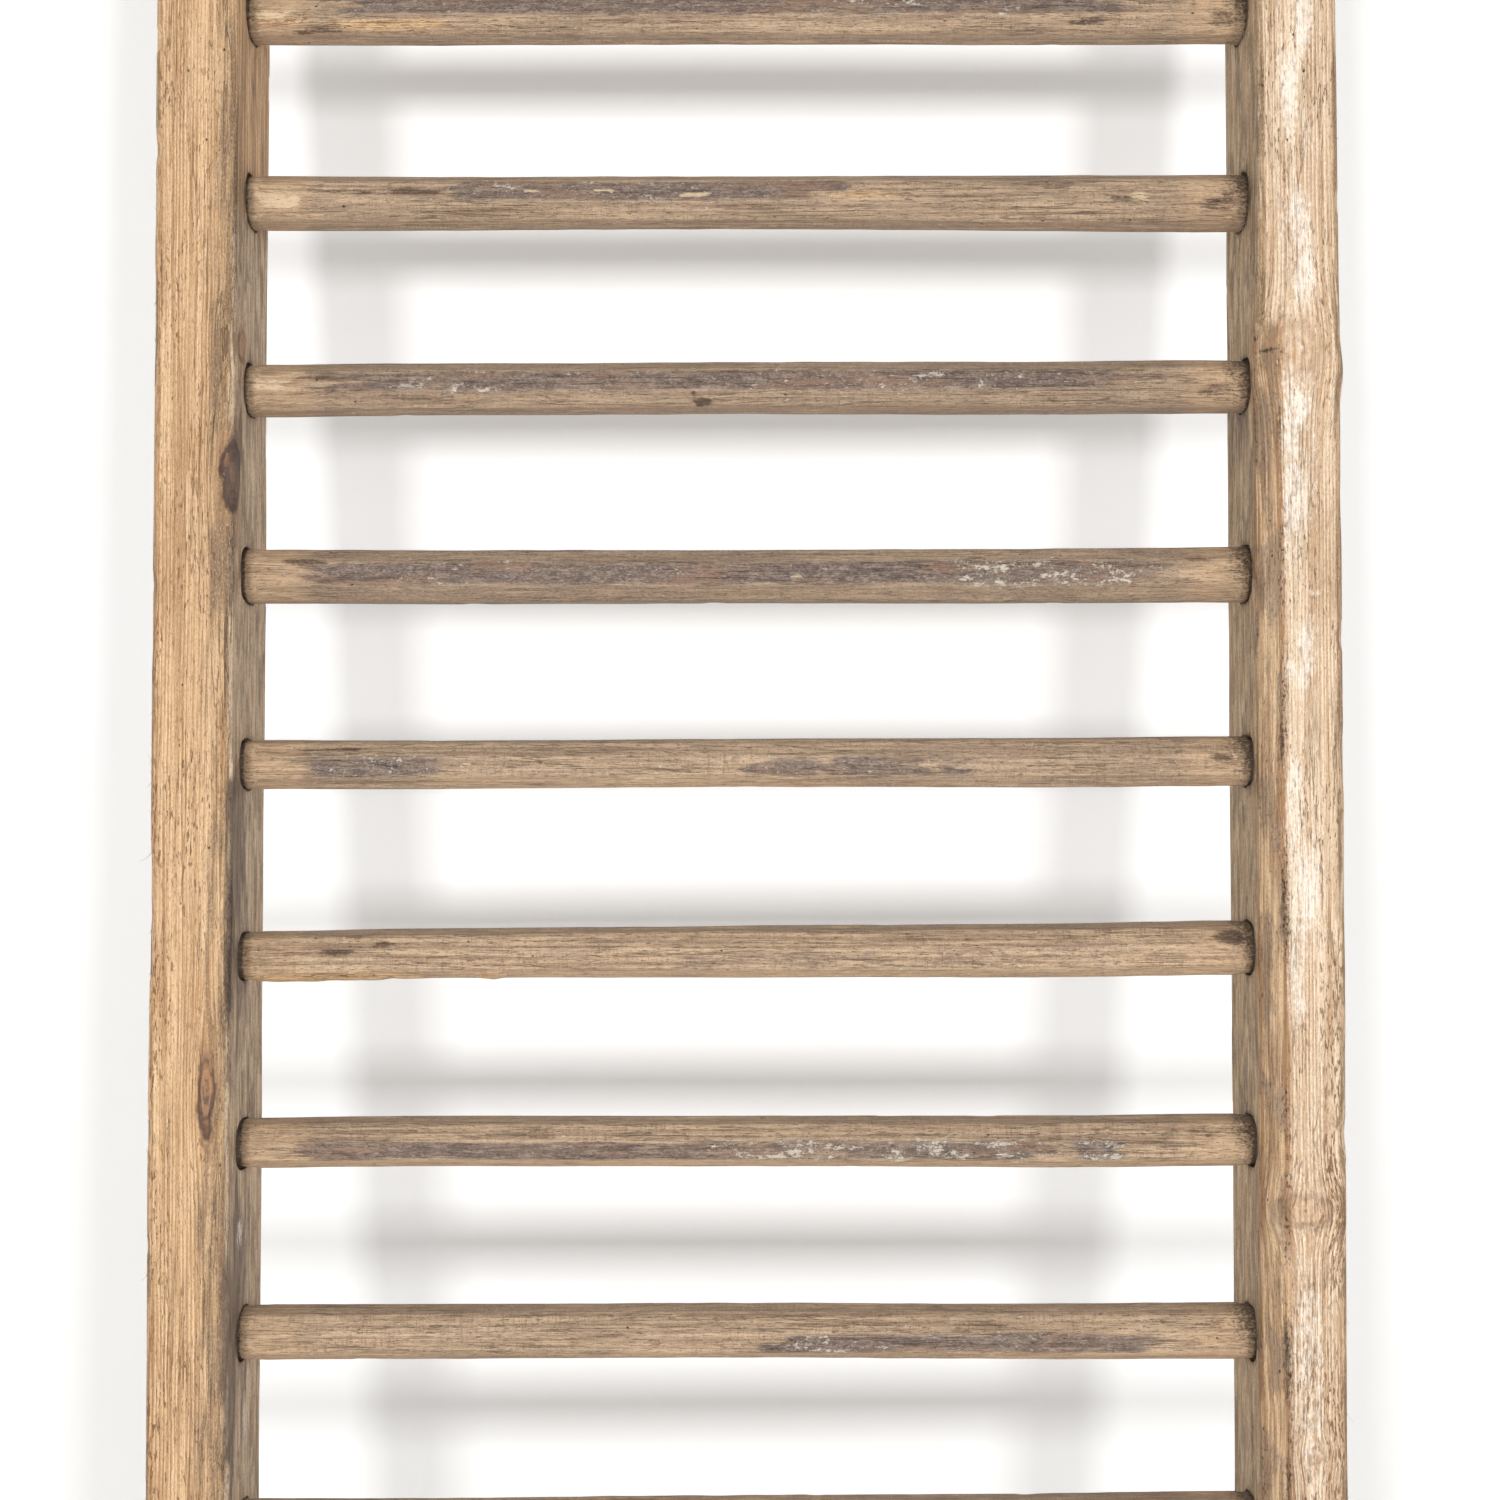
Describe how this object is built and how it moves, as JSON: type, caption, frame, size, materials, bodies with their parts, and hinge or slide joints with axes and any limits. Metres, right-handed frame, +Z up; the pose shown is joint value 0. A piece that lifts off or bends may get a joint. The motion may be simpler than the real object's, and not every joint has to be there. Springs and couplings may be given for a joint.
{
  "type": "hay rack",
  "caption": "Stable hay rack: two softwood rails joined by a row of hand-shaved oak rungs with wedged through tenons, to fix to a wall or stand on end.",
  "frame": {"origin": "on the ground, midway between the two rails and midway through their depth", "axes": "+Z up along the rails, +X to the right along the rungs, -Y to the front, where the rungs are worn"},
  "size_m": [0.737, 0.1, 2.4],
  "materials": {
    "rail_left": "rough sawn, worn, bare",
    "rail_right": "bare, worn, streaked with old limewash",
    "rungs": "hand-shaved oak with a dark patina along the front",
    "wedges_and_pegs": "split oak, dull"
  },
  "bodies": {
    "root": {"rail_left": "rail_left", "rail_right": "rail_right", "rung_01": "rungs", "rung_02": "rungs", "rung_03": "rungs", "rung_04": "rungs", "rung_05": "rungs", "rung_06": "rungs", "rung_07": "rungs", "rung_08": "rungs", "rung_09": "rungs", "rung_10": "rungs", "rung_11": "rungs", "rung_12": "rungs", "rung_13": "rungs", "rung_14": "rungs", "rung_15": "rungs", "rung_16": "rungs", "rung_17": "rungs", "rung_18": "rungs", "rung_19": "rungs", "wedges_left": "wedges_and_pegs", "wedges_right": "wedges_and_pegs", "peg_bottom_left": "wedges_and_pegs", "peg_bottom_right": "wedges_and_pegs", "peg_top_left": "wedges_and_pegs", "peg_top_right": "wedges_and_pegs"}
  },
  "joints": []
}
